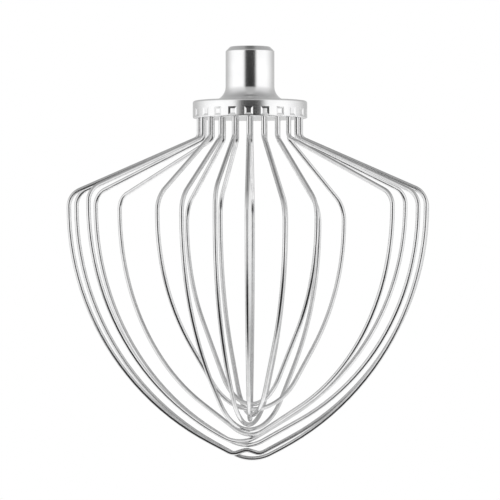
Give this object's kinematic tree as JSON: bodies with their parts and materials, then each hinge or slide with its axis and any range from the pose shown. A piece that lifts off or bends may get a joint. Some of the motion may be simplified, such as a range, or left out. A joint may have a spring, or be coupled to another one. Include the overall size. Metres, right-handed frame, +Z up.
{
  "type": "stand mixer wire whisk",
  "caption": "Balloon whisk for a stand mixer: crossed steel wire loops staked into the collar of a turned hub with a bayonet shaft socket.",
  "frame": {"origin": "on the axis of the shaft socket, at the height of the shaft's cross pin when it is locked", "axes": "+Z up the mixer shaft and out of the socket's mouth, +X across the large loops, -Y to the front"},
  "size_m": [0.1629, 0.1134, 0.1866],
  "materials": {
    "hub_metal": "satin, fine turned",
    "wire_steel": "polished drawn wire"
  },
  "bodies": {
    "root": {"hub": "hub_metal", "large_wire_1": "wire_steel", "large_wire_2": "wire_steel", "large_wire_3": "wire_steel", "large_wire_4": "wire_steel", "large_wire_5": "wire_steel", "small_wire_1": "wire_steel", "small_wire_2": "wire_steel", "small_wire_3": "wire_steel", "small_wire_4": "wire_steel", "small_wire_5": "wire_steel", "small_wire_6": "wire_steel"}
  },
  "joints": []
}
